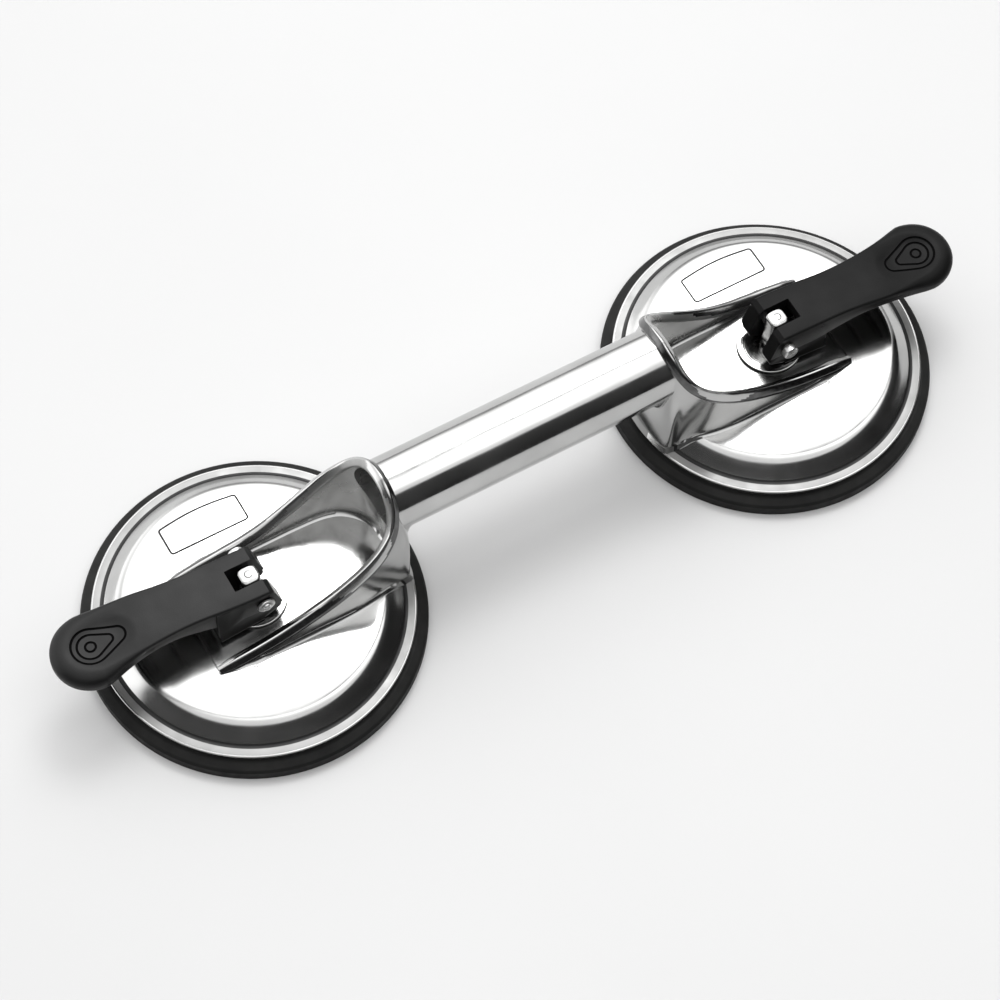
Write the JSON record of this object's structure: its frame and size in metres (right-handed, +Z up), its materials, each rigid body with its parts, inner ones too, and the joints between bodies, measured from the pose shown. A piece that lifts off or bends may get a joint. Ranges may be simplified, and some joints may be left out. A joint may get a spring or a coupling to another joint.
{
  "type": "vacuum suction cup",
  "caption": "Hand vacuum lifter: a cast aluminium handle bridge over two rubber suction pads, each drawn up by a hinged clamping lever.",
  "frame": {"origin": "on the floor, at the middle of the handle (centre of the bounding box's bottom face)", "axes": "+X along the handle towards the right cup, +Z up, away from the pads; -Y is the side with the right lever's pin head"},
  "size_m": [0.3488, 0.118, 0.0591],
  "materials": {
    "cast_aluminium": "polished die casting, mirror-like with fine pits and faint polishing marks",
    "black_rubber": "matt moulded rubber",
    "black_plastic": "satin moulded plastic with fine grain",
    "bright_steel": "bright plated steel",
    "plate_steel": "plain zinc-plated steel"
  },
  "bodies": {
    "root": {"casting": "cast_aluminium", "suction_pad_right": "black_rubber", "wear_washer_right": "bright_steel", "suction_pad_left": "black_rubber", "wear_washer_left": "bright_steel"},
    "stud_right": {"draw_stud_right": "bright_steel", "backing_plate_right": "plate_steel", "stud_nut_right": "plate_steel", "pivot_pin_right": "bright_steel", "pin_clip_right": "bright_steel"},
    "stud_left": {"draw_stud_left": "bright_steel", "backing_plate_left": "plate_steel", "stud_nut_left": "plate_steel", "pivot_pin_left": "bright_steel", "pin_clip_left": "bright_steel"},
    "lever_right": {"lever_right": "black_plastic"},
    "lever_left": {"lever_left": "black_plastic"}
  },
  "joints": [
    {"name": "stud_right_slide", "type": "slide", "parent": "root", "child": "stud_right", "axis": [0, 0, 1], "range_m": [-0.0035, 0], "deforming": ["suction_pad_right"]},
    {"name": "lever_right_pivot", "type": "hinge", "parent": "stud_right", "child": "lever_right", "pos_m": [0.1025, 0, 0.0288], "axis": [0, -1, 0], "range_deg": [0, 100]},
    {"name": "stud_left_slide", "type": "slide", "parent": "root", "child": "stud_left", "axis": [0, 0, 1], "range_m": [-0.0035, 0], "deforming": ["suction_pad_left"]},
    {"name": "lever_left_pivot", "type": "hinge", "parent": "stud_left", "child": "lever_left", "pos_m": [-0.1025, 0, 0.0288], "axis": [0, 1, 0], "range_deg": [0, 100]}
  ],
  "couplings": [
    {"joint": "stud_right_slide", "follows": "lever_right_pivot", "m_per_rad": -0.002},
    {"joint": "stud_left_slide", "follows": "lever_left_pivot", "m_per_rad": -0.002}
  ]
}
